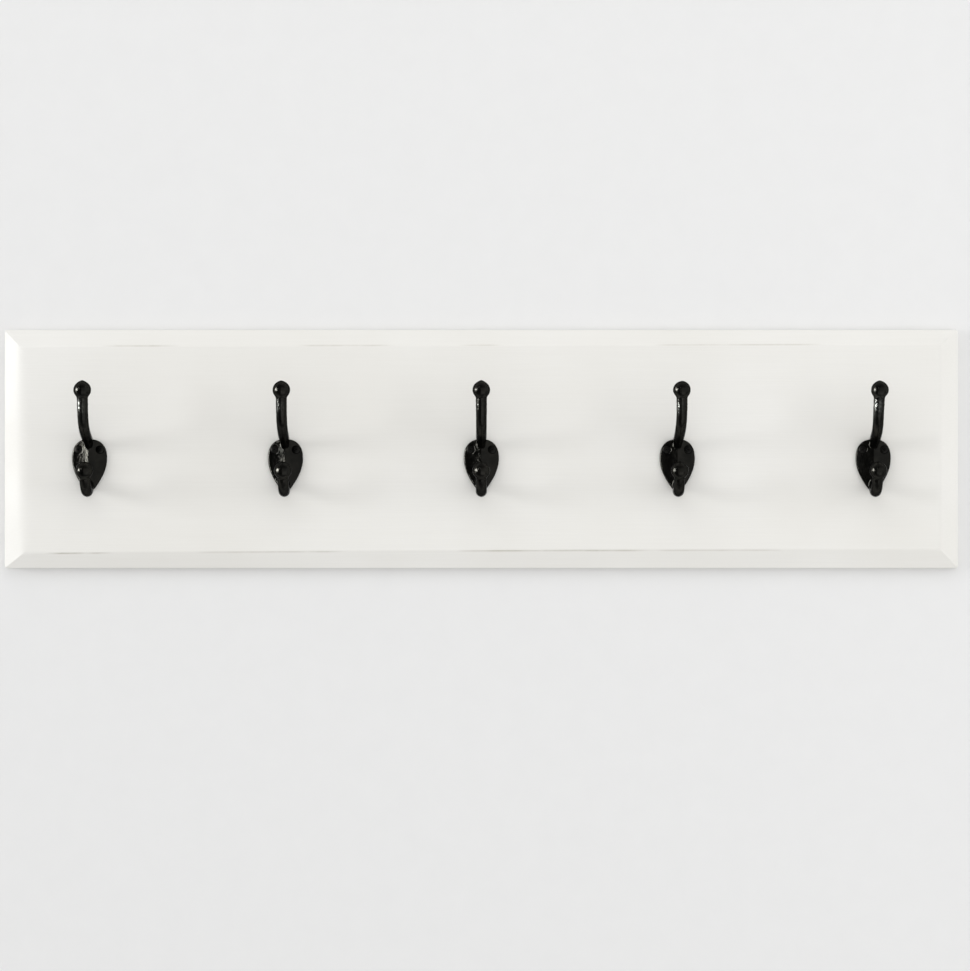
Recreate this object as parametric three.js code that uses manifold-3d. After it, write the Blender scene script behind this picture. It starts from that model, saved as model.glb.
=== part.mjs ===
// Wall hook rack: a painted board with bevelled edges that carries a row of cast-iron double hooks.
// Each hook is one casting, held by two flat-head wood screws. Two keyhole hanger plates are let
// into the back of the board, each held by two small screws.
//
// Frame: millimetres, +X along the board, +Z up, -Y out into the room. The origin is the centre of
// the board's back face, which lies against the wall.
import * as THREE from "three";
import { mergeVertices } from "three/addons/utils/BufferGeometryUtils.js";
import Module from "manifold-3d";

const wasm = await Module();
wasm.setup();

// ---------- driving dimensions ----------
const BOARD = { width: 812.8, height: 203.2, thickness: 19, bevelWidth: 15.5, lip: 10 };
const EASE = 0.8; // small chamfer where the bevel meets the lip
const FACE_Y = -BOARD.thickness; // the board's front face

const HOOK_COUNT = 5;
const HOOK_PITCH = 166.4;

// Back plate of a hook: a leaf that is widest a little below the screws, round above that line and
// tapered below it.
const LEAF = { halfWidth: 14.9, widestZ: -8.2, riseAbove: 16.4, fallBelow: 33, bottomZ: -35 };
const LEAF_SQUARENESS = 2.4; // exponent of the superellipse above the widest line
const LEAF_TAPER = 1.3; // exponent of the taper below it
const LEAF_POINTS = { above: 9, below: 8 };
const CROWN = { ridge: 4.2, edge: 1.8, power: 1.4, steps: 12 }; // thickness at the middle and edge

// Bar of a hook, from the upper ball through the plate's rib to the lower ball:
// distance out from the board's face, height, radius.
const BAR = [
  [50.0, 48.6, 4.0],
  [47.6, 38.0, 3.95],
  [45.6, 29.6, 3.95],
  [41.0, 20.8, 4.05],
  [33.5, 15.1, 4.15],
  [23.0, 10.4, 4.25],
  [12.0, 6.0, 4.5],
  [4.6, -0.5, 4.8],
  [2.4, -12.0, 4.5],
  [3.0, -24.0, 4.4],
  [8.0, -32.6, 4.45],
  [16.0, -36.0, 4.4],
  [25.0, -33.2, 4.2],
  [31.6, -26.2, 4.05],
  [35.0, -18.5, 4.0],
];
const BAR_SIDES = 10;
const BAR_STEPS = 26;
const UPPER_BALL = { radius: 7.15, nibRadius: 1.9, nibHeight: 0.6 };
const LOWER_BALL = { radius: 7.05, nibRadius: 1.9, nibHeight: 0.3 };
const BALL_SIDES = 12;
const BALL_ROWS = 8;

// Wood screws with cross recesses. Lengths count from the head's rim.
const HOOK_SCREW = {
  headRadius: 3.3, headDepth: 2.0, rim: 0.25, dome: 0.55, shankRadius: 1.75, length: 15.5, point: 4,
  recessSpan: 3.4, recessWidth: 0.9, recessDepth: 1.5,
};
const HANGER_SCREW = {
  headRadius: 2.6, headDepth: 1.4, rim: 0.2, dome: 0.15, shankRadius: 1.3, length: 9.5, point: 3,
  recessSpan: 2.7, recessWidth: 0.75, recessDepth: 1.1,
};
const SCREW_SIDES = 12;
const HOOK_SCREW_X = 9.0; // either side of the rib
const HOOK_SCREW_Z = -0.6;
const HOOK_SCREW_HEAD_OUT = 2.7; // the head's rim stands this far out from the board's face

// Keyhole hanger plates, at the usual distance between wall studs.
const HANGER = { width: 16, height: 42, thickness: 1.5, corner: 3, recess: 1.8 };
const HANGER_BACK_Y = HANGER.thickness - HANGER.recess; // just below the board's back face
const HANGER_X = 203.2;
const HANGER_Z = 58;
const HANGER_SCREW_SPACING = 33;
const KEYHOLE = { entryRadius: 5, entrySides: 20, slotRadius: 2.6, slotRise: 9, entryZ: -4.5 };
const HEAD_POCKET = { radius: 6.2, depth: 9.5 }; // room behind the plate for a wall screw's head

const GAP = 0.3; // clearance between a screw and what it passes through
const OVERSHOOT = 1; // how far a cutter runs past the face that it cuts

// ---------- materials ----------
const finish = (color, roughness, metalness) =>
  new THREE.MeshStandardMaterial({ color, roughness, metalness });
const PAINTED_WOOD = finish(0xe9e8e2, 0.45, 0);
const CAST_IRON = finish(0x14140f, 0.32, 0.6);
const BLACK_STEEL = finish(0x1a1a17, 0.4, 0.7);
const ZINC_STEEL = finish(0xb9bcc0, 0.35, 0.9);

// ---------- solids ----------
function solidOf(geometry) {
  const bare = geometry.clone();
  bare.deleteAttribute("normal");
  bare.deleteAttribute("uv");
  const merged = mergeVertices(bare, 1e-3);
  return new wasm.Manifold(
    new wasm.Mesh({
      numProp: 3,
      vertProperties: new Float32Array(merged.attributes.position.array),
      triVerts: new Uint32Array(merged.index.array),
    }),
  );
}

function geometryOf(solid) {
  const mesh = solid.getMesh();
  return new THREE.BufferGeometry()
    .setAttribute("position", new THREE.BufferAttribute(mesh.vertProperties, 3))
    .setIndex(new THREE.BufferAttribute(mesh.triVerts, 1));
}

function boxSolid(low, high) {
  const size = high.map((value, k) => value - low[k]);
  const middle = high.map((value, k) => (value + low[k]) / 2);
  return solidOf(new THREE.BoxGeometry(...size).translate(...middle));
}

// A solid of revolution about the Y axis. The profile's points are [radius, y], from low y to high.
function turned(profile, sides) {
  const points = profile.map(([radius, y]) => new THREE.Vector2(radius, y));
  return new THREE.LatheGeometry(points, sides);
}

// A round cutter along Y, between two depths.
function drill(x, z, radius, y0, y1, sides) {
  const cylinder = new THREE.CylinderGeometry(radius, radius, y1 - y0, sides);
  return solidOf(cylinder.translate(x, (y0 + y1) / 2, z));
}

// ---------- board ----------
// A box in three layers through its thickness: square at the back, eased at the lip, and drawn in
// by the bevel at the front.
function boardBlank() {
  const { width, height, thickness, bevelWidth, lip } = BOARD;
  const layers = [
    { y: -thickness, inset: bevelWidth },
    { y: -lip - EASE, inset: EASE },
    { y: -lip + EASE, inset: 0 },
    { y: 0, inset: 0 },
  ];
  const box = new THREE.BoxGeometry(width, thickness, height, 1, layers.length - 1, 1);
  const position = box.attributes.position;
  for (let i = 0; i < position.count; i++) {
    const share = position.getY(i) / thickness + 0.5;
    const layer = layers[Math.round(share * (layers.length - 1))];
    const x = Math.sign(position.getX(i)) * (width / 2 - layer.inset);
    const z = Math.sign(position.getZ(i)) * (height / 2 - layer.inset);
    position.setXYZ(i, x, layer.y, z);
  }
  return solidOf(box);
}

function boardSolid() {
  let board = boardBlank();
  const screwHole = HOOK_SCREW.shankRadius + GAP;
  const screwEnd = FACE_Y - HOOK_SCREW_HEAD_OUT + HOOK_SCREW.length + GAP;
  for (const [x, z] of hookScrewPlaces()) {
    board = board.subtract(drill(x, z, screwHole, FACE_Y - OVERSHOOT, screwEnd, SCREW_SIDES));
  }
  for (const x of [-HANGER_X, HANGER_X]) {
    board = board.subtract(hangerRecess(x));
  }
  return board;
}

// Everything that is cut out of the board's back for one hanger plate.
function hangerRecess(x) {
  const outline = roundedRectangle(HANGER.width + 2 * GAP, HANGER.height + 2 * GAP, HANGER.corner);
  const pocket = slotOutline(HEAD_POCKET.radius, KEYHOLE.entryZ, KEYHOLE.slotRise);
  let recess = slab(outline, -HANGER.recess, OVERSHOOT, x, HANGER_Z);
  recess = recess.add(slab(pocket, -HEAD_POCKET.depth, OVERSHOOT, x, HANGER_Z));
  const screwHole = HANGER_SCREW.shankRadius + GAP;
  const screwEnd = HANGER_BACK_Y - HANGER_SCREW.length - GAP;
  for (const z of hangerScrewHeights()) {
    recess = recess.add(drill(x, z, screwHole, screwEnd, OVERSHOOT, SCREW_SIDES));
  }
  return recess;
}

// ---------- hanger plates ----------
function roundedRectangle(width, height, corner) {
  const [x, z] = [width / 2, height / 2];
  const shape = new THREE.Shape();
  shape.moveTo(x - corner, -z);
  shape.absarc(x - corner, -z + corner, corner, -Math.PI / 2, 0);
  shape.absarc(x - corner, z - corner, corner, 0, Math.PI / 2);
  shape.absarc(-x + corner, z - corner, corner, Math.PI / 2, Math.PI);
  shape.absarc(-x + corner, -z + corner, corner, Math.PI, 1.5 * Math.PI);
  return shape;
}

// A slot with round ends that rises from a given height.
function slotOutline(radius, bottomZ, rise) {
  const shape = new THREE.Shape();
  shape.absarc(0, bottomZ, radius, Math.PI, 2 * Math.PI);
  shape.absarc(0, bottomZ + rise, radius, 0, Math.PI);
  return shape;
}

// An outline in X and Z, extruded along Y between two depths and moved to x and z.
function slab(shape, y0, y1, x, z) {
  const geometry = new THREE.ExtrudeGeometry(shape, {
    depth: y1 - y0,
    bevelEnabled: false,
    curveSegments: 5,
  });
  geometry.rotateX(Math.PI / 2); // the outline's height becomes +Z, and its depth runs along -Y
  return solidOf(geometry.translate(x, y1, z));
}

function hangerPlateSolid(x) {
  const outline = roundedRectangle(HANGER.width, HANGER.height, HANGER.corner);
  const front = -HANGER.recess - OVERSHOOT;
  const back = HANGER_BACK_Y + OVERSHOOT;
  const entryZ = HANGER_Z + KEYHOLE.entryZ;
  const slot = slotOutline(KEYHOLE.slotRadius, KEYHOLE.entryZ, KEYHOLE.slotRise);
  let plate = slab(outline, -HANGER.recess, HANGER_BACK_Y, x, HANGER_Z)
    .subtract(drill(x, entryZ, KEYHOLE.entryRadius, front, back, KEYHOLE.entrySides))
    .subtract(slab(slot, front, back, x, HANGER_Z));
  for (const z of hangerScrewHeights()) {
    plate = plate.subtract(countersink(HANGER_SCREW, HANGER_BACK_Y, +1).translate([x, 0, z]));
  }
  return plate;
}

function hangerScrewHeights() {
  return [-1, 1].map((side) => HANGER_Z + (side * HANGER_SCREW_SPACING) / 2);
}

// ---------- screws ----------
// A flat-head wood screw along Y. `out` is +1 or -1, the way its head faces, and `rimY` is the
// height of the head's rim.
function screwSolid(screw, rimY, out) {
  const { headRadius, headDepth, rim, dome, shankRadius, length, point } = screw;
  const profile = [
    [0, -length],
    [shankRadius, -length + point],
    [shankRadius, -headDepth],
    [headRadius, -rim],
    [headRadius, 0],
    [headRadius * 0.6, dome * 0.75],
    [0, dome],
  ];
  let body = solidOf(turned(profile, SCREW_SIDES));
  const top = dome + OVERSHOOT;
  const [long, short] = [screw.recessSpan / 2, screw.recessWidth / 2];
  for (const [x, z] of [[long, short], [short, long]]) {
    body = body.subtract(boxSolid([-x, -screw.recessDepth, -z], [x, top, z]));
  }
  return placedAlongY(body, rimY, out);
}

// The hole for a screw through a plate: a shank hole and a cone for the head, both with clearance,
// and a straight wall from the head's rim outwards.
function countersink(screw, rimY, out) {
  const shank = screw.shankRadius + GAP;
  const head = screw.headRadius + GAP;
  const wall = CROWN.ridge;
  const profile = [
    [0, -screw.length],
    [shank, -screw.length],
    [shank, -screw.headDepth],
    [head, 0],
    [head, wall],
    [0, wall],
  ];
  return placedAlongY(solidOf(turned(profile, SCREW_SIDES)), rimY, out);
}

function placedAlongY(solid, rimY, out) {
  const faced = out > 0 ? solid : solid.rotate([180, 0, 0]);
  return faced.translate([0, rimY, 0]);
}

// ---------- hooks ----------
// Half width of the leaf-shaped back plate at a height.
function leafHalfWidth(z) {
  const { halfWidth, widestZ, riseAbove, fallBelow } = LEAF;
  if (z >= widestZ) {
    const share = Math.min(1, (z - widestZ) / riseAbove);
    return halfWidth * Math.pow(1 - Math.pow(share, LEAF_SQUARENESS), 1 / LEAF_SQUARENESS);
  }
  const share = (widestZ - z) / fallBelow;
  return halfWidth * Math.pow(1 - share * share, LEAF_TAPER);
}

function leafOutline() {
  const { widestZ, riseAbove, bottomZ } = LEAF;
  const { above, below } = LEAF_POINTS;
  const side = [];
  for (let i = 0; i <= above; i++) {
    const z = widestZ + riseAbove * Math.cos((i / above) * (Math.PI / 2));
    side.push([leafHalfWidth(z), z]);
  }
  for (let i = 1; i <= below; i++) {
    const z = widestZ + ((bottomZ - widestZ) * i) / below;
    side.push([leafHalfWidth(z), z]);
  }
  const mirrored = side.slice(1).reverse().map(([x, z]) => [-x, z]);
  return new THREE.Shape([...side, ...mirrored].map(([x, z]) => new THREE.Vector2(x, z)));
}

// The plate's front is crowned from side to side: an arch, extruded upwards, bounds it. The arch is
// drawn with its height along +Y and then turned to face -Y.
function plateSolid() {
  const { ridge, edge, power, steps } = CROWN;
  const reach = LEAF.halfWidth + OVERSHOOT;
  const arch = [new THREE.Vector2(reach, 0)];
  for (let i = 0; i <= steps; i++) {
    const x = reach * (1 - (2 * i) / steps);
    const out = edge + (ridge - edge) * (1 - Math.pow(Math.abs(x) / reach, power));
    arch.push(new THREE.Vector2(x, out));
  }
  arch.push(new THREE.Vector2(-reach, 0));
  const lowest = LEAF.bottomZ - OVERSHOOT;
  const depth = LEAF.widestZ + LEAF.riseAbove + OVERSHOOT - lowest;
  const crown = new THREE.ExtrudeGeometry(new THREE.Shape(arch), { depth, bevelEnabled: false });
  crown.rotateZ(Math.PI).translate(0, 0, lowest);
  return slab(leafOutline(), -ridge - OVERSHOOT, 0, 0, 0).intersect(solidOf(crown));
}

// The bar's radius at a share of the way along its list of points.
function barRadius(t) {
  const at = t * (BAR.length - 1);
  const i = Math.min(Math.floor(at), BAR.length - 2);
  return THREE.MathUtils.lerp(BAR[i][2], BAR[i + 1][2], at - i);
}

// The bar is a cylinder whose rings are moved onto the curve, each with its own radius.
function barSolid() {
  const curve = new THREE.CatmullRomCurve3(BAR.map(([out, z]) => new THREE.Vector3(0, -out, z)));
  const tube = new THREE.CylinderGeometry(1, 1, 1, BAR_SIDES, BAR_STEPS);
  const position = tube.attributes.position;
  const across = new THREE.Vector3(1, 0, 0);
  for (let i = 0; i < position.count; i++) {
    const t = curve.getUtoTmapping(position.getY(i) + 0.5);
    const outward = new THREE.Vector3().crossVectors(across, curve.getTangent(t));
    const point = curve
      .getPoint(t)
      .addScaledVector(across, position.getX(i) * barRadius(t))
      .addScaledVector(outward, position.getZ(i) * barRadius(t));
    position.setXYZ(i, point.x, point.y, point.z);
  }
  return solidOf(tube);
}

// A ball on the end of the bar, with a small nib that points on along the bar.
function ballSolid(ball, end, before) {
  const profile = [];
  for (let i = 0; i <= BALL_ROWS; i++) {
    const angle = -Math.PI / 2 + (Math.PI * i) / BALL_ROWS;
    const radius = i % BALL_ROWS ? ball.radius * Math.cos(angle) : 0;
    const y = ball.radius * Math.sin(angle);
    const nib = Math.max(0, 1 - radius / (2 * ball.nibRadius));
    profile.push([radius, y + (y > 0 ? ball.nibHeight * nib : 0)]);
  }
  const [out, z] = end;
  const direction = new THREE.Vector3(0, before[0] - out, z - before[1]).normalize();
  const turn = new THREE.Quaternion().setFromUnitVectors(new THREE.Vector3(0, 1, 0), direction);
  return solidOf(turned(profile, BALL_SIDES).applyQuaternion(turn).translate(0, -out, z));
}

function hookSolid() {
  const last = BAR.length - 1;
  let hook = plateSolid()
    .add(barSolid())
    .add(ballSolid(UPPER_BALL, BAR[0], BAR[1]))
    .add(ballSolid(LOWER_BALL, BAR[last], BAR[last - 1]));
  const [side, tall] = [LEAF.halfWidth, BAR[0][1]];
  hook = hook.subtract(boxSolid([-side, 0, -tall], [side, side, tall])); // the back is flat
  for (const x of [-HOOK_SCREW_X, HOOK_SCREW_X]) {
    const hole = countersink(HOOK_SCREW, -HOOK_SCREW_HEAD_OUT, -1);
    hook = hook.subtract(hole.translate([x, 0, HOOK_SCREW_Z]));
  }
  return hook;
}

// ---------- places ----------
function hookPlaces() {
  return Array.from({ length: HOOK_COUNT }, (_, i) => (i - (HOOK_COUNT - 1) / 2) * HOOK_PITCH);
}

function hookScrewPlaces() {
  return hookPlaces().flatMap((x) => [-1, 1].map((side) => [x + side * HOOK_SCREW_X, HOOK_SCREW_Z]));
}

// ---------- assembly ----------
const rack = new THREE.Group();

function addPiece(name, geometry, material, x, y, z) {
  const mesh = new THREE.Mesh(geometry, material);
  mesh.name = name;
  mesh.position.set(x, y, z);
  rack.add(mesh);
}

addPiece("back_board", geometryOf(boardSolid()), PAINTED_WOOD, 0, 0, 0);

const hookGeometry = geometryOf(hookSolid());
const hookScrewGeometry = geometryOf(screwSolid(HOOK_SCREW, -HOOK_SCREW_HEAD_OUT, -1));
hookPlaces().forEach((x, i) => {
  const name = `hook_${i + 1}`;
  addPiece(name, hookGeometry, CAST_IRON, x, FACE_Y, 0);
  addPiece(`${name}_screw_left`, hookScrewGeometry, BLACK_STEEL, x - HOOK_SCREW_X, FACE_Y, HOOK_SCREW_Z);
  addPiece(`${name}_screw_right`, hookScrewGeometry, BLACK_STEEL, x + HOOK_SCREW_X, FACE_Y, HOOK_SCREW_Z);
});

const hangerScrewGeometry = geometryOf(screwSolid(HANGER_SCREW, HANGER_BACK_Y, +1));
for (const [side, x] of [["left", -HANGER_X], ["right", HANGER_X]]) {
  addPiece(`hanger_plate_${side}`, geometryOf(hangerPlateSolid(x)), ZINC_STEEL, 0, 0, 0);
  hangerScrewHeights().forEach((z, i) => {
    const end = ["bottom", "top"][i];
    addPiece(`hanger_plate_${side}_screw_${end}`, hangerScrewGeometry, ZINC_STEEL, x, 0, z);
  });
}

export default rack;
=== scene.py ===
# Looks of the wall hook rack: a painted board with bevelled edges that carries five cast-iron
# double hooks, the wood screws that hold them, and two keyhole hanger plates let into its back.
#
# Frame: metres, +X along the board, +Z up, -Y out into the room. The origin is the centre of the
# board's back face, which lies against the wall. Shapes are worked out in millimetres.
import itertools
import math

import bmesh
import bpy
import numpy as np
from mathutils import Matrix, Vector, noise


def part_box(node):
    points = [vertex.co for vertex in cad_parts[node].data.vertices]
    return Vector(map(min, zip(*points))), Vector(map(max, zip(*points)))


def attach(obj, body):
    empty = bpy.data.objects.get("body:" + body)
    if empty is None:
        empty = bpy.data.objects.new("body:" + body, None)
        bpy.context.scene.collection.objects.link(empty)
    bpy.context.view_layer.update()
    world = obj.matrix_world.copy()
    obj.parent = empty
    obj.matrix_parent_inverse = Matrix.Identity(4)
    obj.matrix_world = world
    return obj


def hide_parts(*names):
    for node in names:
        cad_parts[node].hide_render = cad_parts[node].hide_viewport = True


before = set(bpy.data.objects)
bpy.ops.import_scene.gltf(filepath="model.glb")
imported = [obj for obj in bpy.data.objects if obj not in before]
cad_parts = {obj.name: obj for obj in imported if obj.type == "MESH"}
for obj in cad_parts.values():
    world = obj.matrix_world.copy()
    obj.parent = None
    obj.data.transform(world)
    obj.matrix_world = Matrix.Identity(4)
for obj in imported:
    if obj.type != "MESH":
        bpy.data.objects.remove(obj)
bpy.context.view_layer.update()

MM = 0.001
BOARD_LOW, BOARD_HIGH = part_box("back_board")
FACE_Y = BOARD_LOW.y / MM  # the board's front face, mm
HALF_WIDTH = BOARD_HIGH.x / MM
HALF_HEIGHT = BOARD_HIGH.z / MM

# ---------- camera and studio ----------
CAMERA_DISTANCE = 2.6  # metres from the board's face
CAMERA_X = 0.0031
CAMERA_Z = -0.0311
VIEW_WIDTH = 0.825  # metres across the picture at the board's face
SENSOR_WIDTH = 36.0
WALL_Y = 0.0005
WALL_SIZE = 5.0
WALL_OVERLAP = 0.001  # how far the board covers the edge of the wall's opening behind it
FLOOR_Z = -1.6
FLOOR_SIZE = 60.0
# The black panel seen in the hooks' left sides: from left to right, up and down, in degrees, and
# its distance in metres.
FLAG = {"left": -62, "right": -15, "rise": 55, "distance": 2.9}
# The surroundings: stops of a direction's Y or Z, and how bright it is there. What lights the rack
# follows the first. What it reflects follows the product of the other two.
LIT_ALONG_Y = ((-1, 0.6), (-0.75, 0.6), (-0.15, 0.82), (1, 0.82))
REFLECTED_ALONG_Y = ((-1, 0.04), (-0.75, 0.04), (-0.15, 0.7), (1, 0.7))
REFLECTED_ALONG_Z = ((-1, 0.26), (-0.45, 0.2), (-0.1, 1), (0.3, 1), (0.8, 0.55))

# ---------- colours ----------
WALL_WHITE = (0.80, 0.80, 0.797)
FLOOR_PALE = (0.8, 0.79, 0.77)
FLAG_BLACK = (0.003, 0.003, 0.003, 1)
IVORY, CREAM = (0.80, 0.788, 0.748), (0.84, 0.832, 0.80)  # the paint's two tones
BRUSH_STREAK = (0.72, 0.705, 0.66)
# Dark colour painted along the crease's cut line as painted shade.
CREASE_SHADE = (0.42, 0.385, 0.32)
WOOD_DARK, WOOD_LIGHT = (0.50, 0.33, 0.18), (0.66, 0.48, 0.29)
WOOD_FIBRE = (0.36, 0.22, 0.11)
LACQUER_DARK, LACQUER_LIGHT = (0.020, 0.020, 0.018), (0.032, 0.031, 0.027)
# Lighter iron painted on the hooks' necks as a painted highlight.
NECK_GLINT_IRON = (0.30, 0.31, 0.29)
# Steels: colours of their darkest and lightest stains, roughness from and to, and the depth of
# their drawn lines, mm.
STEELS = {
    "hook_screw": ((0.020, 0.020, 0.019), (0.034, 0.033, 0.030), (0.34, 0.46), 0.01),
    "hanger_steel": ((0.50, 0.51, 0.52), (0.66, 0.66, 0.65), (0.28, 0.46), 0.01),
    "hanger_screw": ((0.46, 0.45, 0.40), (0.62, 0.60, 0.54), (0.24, 0.4), 0.006),
}

# ---------- board ----------
LIP = 10.0  # depth of the square edge behind the bevel
# Insets of the flat panel's corners from the board's outline: from its side, and from its top or
# bottom.
PANEL_INSETS = {
    "bottom_left": (17.8, 13.1),
    "bottom_right": (16.8, 16.1),
    "top_left": (14.4, 15.0),
    "top_right": (16.8, 13.4),
}
BOTTOM_BOW = 1.0  # how far the bottom crease bows up at its middle
# How far either side of the crease the panel rolls over into the bevel, on each side of the board.
CREASE_ROUNDING = {"left": 6.5, "right": 3.0, "bottom": 0.9, "top": 0.9}
# Stretches of the top and bottom creases, along X, where the cutter left a fine groove that is
# darkened with painted shade, and how strong both are there.
CREASE_LINES = {
    "top": ((-316, -262, 0.5), (-150, -80, 0.4), (-14, 12, 0.4), (153, 284, 0.4)),
    "bottom": (
        (-364, -337, 1.0), (-332, -320, 0.8), (-235, -120, 0.5), (-14, 143, 0.75), (149, 250, 0.4),
    ),
}
CREASE_LINE_END = 14.0  # length over which a line fades at its ends
CORNER_BLEND = 9.0  # length over which a side's rounding turns into the rounding at its corner
CORNER_RADIUS = 2.0  # of the board's outline
CELL = 3.0  # size of the cells in the board's two grids
FINE_STATIONS = (0.0, 0.4, 0.8, 1.2, 1.6, 2.0, 3.2)  # distances from a corner, round its curve
WAVINESS = 0.16  # how far the hand-sanded front dips
BACK_INSET = 2.5  # width of the plain border round the back's grid
QUIRK_DEPTH = 0.35  # the deepest that the crease is cut below the bevel
QUIRK_ROWS = ((0.15, 0.7), (0.55, 1.0), (1.05, 0.6), (1.7, 0.0))  # distance out, share of depth
BEVEL_SHARES = np.linspace(0.14, 0.92, 11)  # of the bevel's width, out from the crease
BEVEL_EDGE = ((0.9, 0.52), (0.42, 0.16), (0.12, -0.35), (0.0, -1.0))  # in from outline, above lip
LIP_ROWS = (7.0, 5.0, 3.0, 0.9)  # heights above the back
BACK_EDGE = ((0.12, 0.4), (0.4, 0.1), (0.8, 0.0))  # in from outline, above back
BARE_FROM = 14.0  # bare wood starts, raggedly, within this distance of the back's outline
BACK_DEPTH = 0.6  # what lies within this distance of the back belongs to it
CLEAR_OF_FRONT = 1.5  # how far below the front a hole's wall starts to be bare
PAST_BEVEL = 30.0  # nothing further than this from the outline is bevel or lip

# ---------- hooks ----------
# Outline of the back plate: a superellipse above its widest line and a taper below it.
LEAF = {"half_width": 14.9, "widest_z": -8.2, "rise": 16.4, "fall": 33.0, "bottom_z": -35.0}
LEAF_SQUARENESS = 2.4
LEAF_TAPER = 1.3
LEAF_RIM_ROUND = 1.3
CROWN = {"ridge": 6.9, "edge": 1.9, "reach": 15.9, "power": 1.45}
# Bar from the upper ball through the plate's rib to the lower ball: distance out from the board's
# face, height, radius.
BAR = np.array([
    (49.7, 48.6, 4.75), (47.6, 38.0, 4.6), (45.6, 29.6, 4.5), (41.0, 20.8, 4.5),
    (33.5, 15.1, 4.5), (23.0, 10.6, 4.5), (12.0, 6.9, 4.3), (3.4, 1.0, 3.0),
    (0.8, -12.0, 2.8), (1.6, -24.0, 3.0), (7.4, -32.4, 4.5), (16.0, -35.9, 4.8),
    (25.0, -33.2, 4.65), (31.6, -26.2, 4.5), (34.7, -18.5, 4.4),
])
BAR_STEPS = 9  # samples between two of the bar's points
BALL_RADIUS = 7.35
NIB_REACH = 2.6
PARTING_RIDGE = {"height": 0.16, "half_width": 0.7}
# How far the fillets reach where shapes meet.
FILLET = {"bar": 0.6, "ball": 1.2, "leaf_tip": 2.0, "screw_hole": 0.2, "back": 0.35}
# The rough, hand-dressed neck below the upper ball. A painted highlight lightens its lacquer from
# 36 mm out, over 5 mm, and less from left to right.
NECK = {"z": 35.0, "reach": 6.0, "out": 36.0, "fade": 5.0}
GLINT_SPREAD = {"middle": 0.45, "fade": 6.0, "least": 0.06}
# How far sand and runs of iron raise a casting, and the size of their lumps.
RELIEF = {"slow": 0.06, "slow_size": 5.5, "quick": 0.02, "quick_size": 1.7, "neck": 0.16}
GRID_STEP = 0.5  # of the grid that a casting's surface is drawn from
GRID_LOW = np.array([-16.75, -0.87, -42.61])  # the space that a casting's surface is looked for in
GRID_HIGH = np.array([16.5, 58.5, 57.5])
# How each casting differs: sideways bow of its stem and lean of its upper ball, its nibs, and how
# strong the painted highlight on its neck is.
CASTINGS = {
    1: {"bow": 0.0, "lean": 0.2, "nibs": (0.75, 0.3), "neck_glint": 1.0},
    2: {"bow": -0.35, "lean": -0.2, "nibs": (0.5, 0.2), "neck_glint": 0.4},
    3: {"bow": 0.1, "lean": 0.0, "nibs": (0.8, 0.4), "neck_glint": 0.15},
    4: {"bow": 0.9, "lean": 0.7, "nibs": (0.15, 0.2), "neck_glint": 0.75},
    5: {"bow": -0.95, "lean": -0.5, "nibs": (0.5, 0.3), "neck_glint": 0.9},
}
SWAY_FROM_Z = 6.0

# ---------- screws and hanger plates ----------
GAP = 0.3  # round what sits in a hole or a recess
HEAD_GAP = 0.1  # round a hook screw's head
HOOK_SCREW = {
    "head": 3.3, "head_depth": 2.0, "rim": 0.25, "dome": 0.55, "shank": 1.75, "length": 15.5,
    "point": 4.0, "pitch": 1.6, "recess_span": 3.4, "recess_width": 0.9, "recess_depth": 1.5,
}
HANGER_SCREW = {
    "head": 2.6, "head_depth": 1.4, "rim": 0.2, "dome": 0.15, "shank": 1.3, "length": 9.5,
    "point": 3.0, "pitch": 1.2, "recess_span": 2.7, "recess_width": 0.75, "recess_depth": 1.1,
}
SHARP_ANGLE = {"board": 50, "screw": 35, "hanger": 20}  # an edge past this is shaded sharp
SCREW_SIDES = 36
THREAD_DEPTH = 0.28  # share of the shank's radius
THREAD_ROW = 0.14
THREAD_CREST = 0.1  # half the width of its crest, as a share of a turn
THREAD_FLANK = 2.6  # how fast it is cut away beside its crest, in whole depths for each turn
THREAD_RUN_OUT = 1.5  # length over which the thread fades below the head
RECESS_TAPER = 0.42  # size of a recess's cross at its bottom, as a share of its size at the top
HOOK_SCREW_X = 9.0  # either side of the middle of a hook's plate
HOOK_SCREW_Z = -0.6
HOOK_SCREW_HEAD_OUT = 2.7  # from the board's face to the head's rim
HANGER = {"width": 16.0, "height": 42.0, "thickness": 1.5, "corner": 3.0, "recess": 1.8}
HANGER_BACK_Y = HANGER["thickness"] - HANGER["recess"]
HANGER_SCREW_LEVELS = (-16.5, 16.5)  # from the plate's middle
HANGER_EDGE = ((0.15, 0.0), (0.044, 0.044), (0.0, 0.15))  # in from the outline, down from the face
CUT_OVER = 0.3  # how far a cutter stands out past what it cuts
KEYHOLE = {"entry": 5.0, "slot": 2.6, "rise": 9.0, "entry_z": -4.5}
HEAD_POCKET = {"radius": 6.2, "depth": 9.5}  # room in the board for the head of a wall screw


# ---------- mesh helpers ----------
def mesh_piece(name, points, faces, material):
    """A closed, smooth-shaded mesh object from points in millimetres in the shared frame."""
    mesh = bpy.data.meshes.new(name)
    mesh.from_pydata((np.asarray(points) * MM).tolist(), [], [list(map(int, f)) for f in faces])
    with_outward_normals(mesh)
    mesh.polygons.foreach_set("use_smooth", [True] * len(mesh.polygons))
    mesh.materials.append(material)
    piece = bpy.data.objects.new(name, mesh)
    bpy.context.scene.collection.objects.link(piece)
    return piece


def with_outward_normals(mesh):
    work = bmesh.new()
    work.from_mesh(mesh)
    bmesh.ops.recalc_face_normals(work, faces=work.faces)
    work.to_mesh(mesh)
    work.free()


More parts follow.
